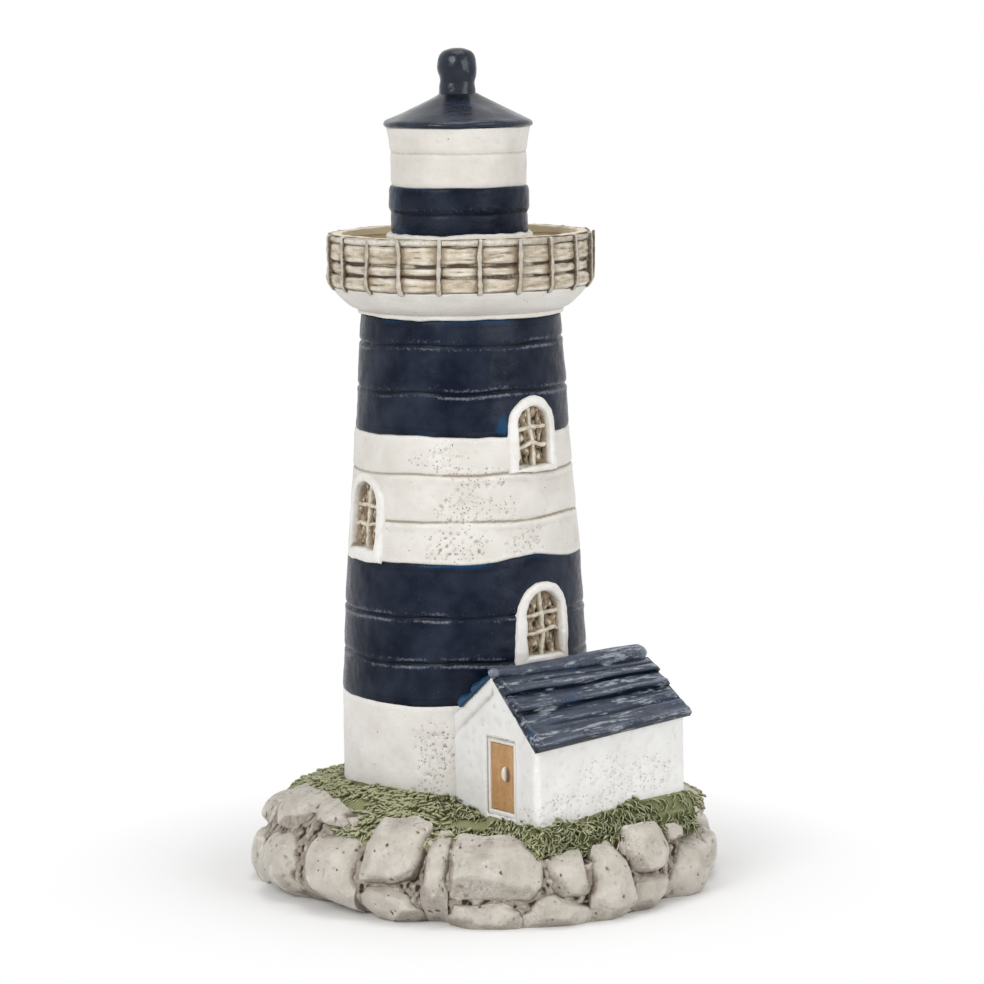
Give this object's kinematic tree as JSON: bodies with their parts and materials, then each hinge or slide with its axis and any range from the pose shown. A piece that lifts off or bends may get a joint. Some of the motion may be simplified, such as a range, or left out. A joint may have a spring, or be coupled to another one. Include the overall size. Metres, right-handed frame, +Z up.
{
  "type": "lighthouse ornament",
  "caption": "Striped round lighthouse with a galleried lantern, on a ring of field stones, with a gabled cottage at its foot.",
  "frame": {"origin": "on the tower's axis, at the underside that stands on the shelf", "axes": "+Z up the tower; -Y is the front, the side that the picture shows; the cottage stands towards +X and -Y"},
  "size_m": [0.1153, 0.1173, 0.1994],
  "materials": {
    "felt": "dense short felt",
    "bare_resin": "unpainted cast resin",
    "stone_paint": "matt grey-beige paint with a brown wash in the hollows",
    "turf_paint": "matt olive paint, dry-brushed pale green",
    "white_paint": "eggshell white paint with a grey-tan wash",
    "navy_paint": "semi-gloss navy paint",
    "roof_paint": "semi-gloss navy paint, dry-brushed pale grey",
    "driftwood_paint": "matt cream paint with a brown wash",
    "dark_wash": "matt dark brown wash",
    "sand_paint": "matt sand-coloured paint",
    "ochre_paint": "satin ochre paint with brush marks",
    "ivory_paint": "satin ivory paint"
  },
  "bodies": {
    "root": {"base_felt": "felt", "base_plinth": "bare_resin", "stone_left_upper": "stone_paint", "stone_left_cap": "stone_paint", "stone_left_lower": "stone_paint", "stone_front_left_block": "stone_paint", "stone_front_left_upper": "stone_paint", "stone_front_left_toe": "stone_paint", "stone_front_wedge": "stone_paint", "stone_front_slab": "stone_paint", "stone_front_toe": "stone_paint", "stone_front_right_toe": "stone_paint", "stone_front_right_cobble": "stone_paint", "stone_front_right_block": "stone_paint", "stone_right_boulder": "stone_paint", "stone_right_toe": "stone_paint", "stone_right_lower": "stone_paint", "stone_right_pebble": "stone_paint", "stone_right_upper": "stone_paint", "stones_back_lower": "stone_paint", "stones_back_upper": "stone_paint", "turf": "turf_paint", "tower_foot": "white_paint", "tower_lower_band": "navy_paint", "tower_middle": "white_paint", "tower_upper_band": "navy_paint", "upper_window_surround": "white_paint", "upper_window_lattice": "driftwood_paint", "upper_window_pane": "dark_wash", "lower_window_surround": "white_paint", "lower_window_lattice": "driftwood_paint", "lower_window_pane": "dark_wash", "left_window_surround": "white_paint", "left_window_lattice": "driftwood_paint", "left_window_pane": "dark_wash", "gallery_corbel": "white_paint", "gallery_deck": "sand_paint", "gallery_parapet": "sand_paint", "gallery_lower_hoop": "driftwood_paint", "gallery_thin_hoop": "driftwood_paint", "gallery_wide_hoop": "driftwood_paint", "gallery_top_rail": "driftwood_paint", "gallery_posts": "driftwood_paint", "lantern_collar": "white_paint", "lantern_lower": "navy_paint", "lantern_upper": "white_paint", "lantern_roof": "navy_paint", "finial": "navy_paint", "cottage_walls": "white_paint", "roof_right_eave_board": "roof_paint", "roof_right_middle_board": "roof_paint", "roof_right_ridge_board": "roof_paint", "roof_left_lower_board": "roof_paint", "roof_left_ridge_board": "roof_paint", "roof_ridge_roll": "roof_paint", "door_frame": "white_paint", "door": "ochre_paint", "door_knob": "ivory_paint"}
  },
  "joints": []
}
